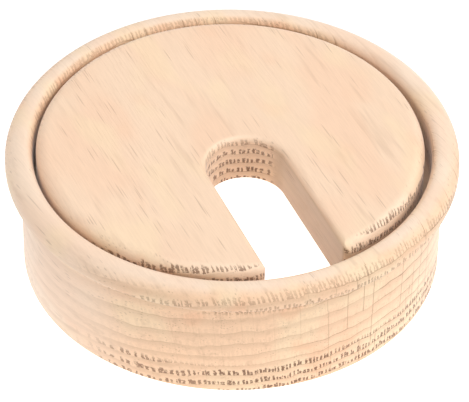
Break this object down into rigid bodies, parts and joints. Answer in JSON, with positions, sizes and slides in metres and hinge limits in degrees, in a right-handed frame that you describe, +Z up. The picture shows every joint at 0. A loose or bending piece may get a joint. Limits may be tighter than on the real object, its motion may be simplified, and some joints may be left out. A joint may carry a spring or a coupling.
{
  "type": "desk grommet",
  "caption": "Round turned wooden cable grommet for a desk top: a flanged liner ring with a rounded rim, and a loose lid with a U-shaped cable slot.",
  "frame": {"origin": "on the liner's axis, in the plane of the flange's underside, which is the surface of the desk top", "axes": "+Z up out of the desk, along the liner's axis; the lid's cable slot opens towards -Y; +X to the right, seen from -Y"},
  "size_m": [0.0852, 0.0852, 0.0269],
  "materials": {
    "oak": "raw, fine sanded"
  },
  "bodies": {
    "liner": {"liner_ring": "oak"},
    "lid": {"lid": "oak"}
  },
  "joints": [
    {"name": "lid_lift", "type": "slide", "parent": "liner", "child": "lid", "axis": [0, 0, 1], "range_m": [0, 0.03]}
  ]
}
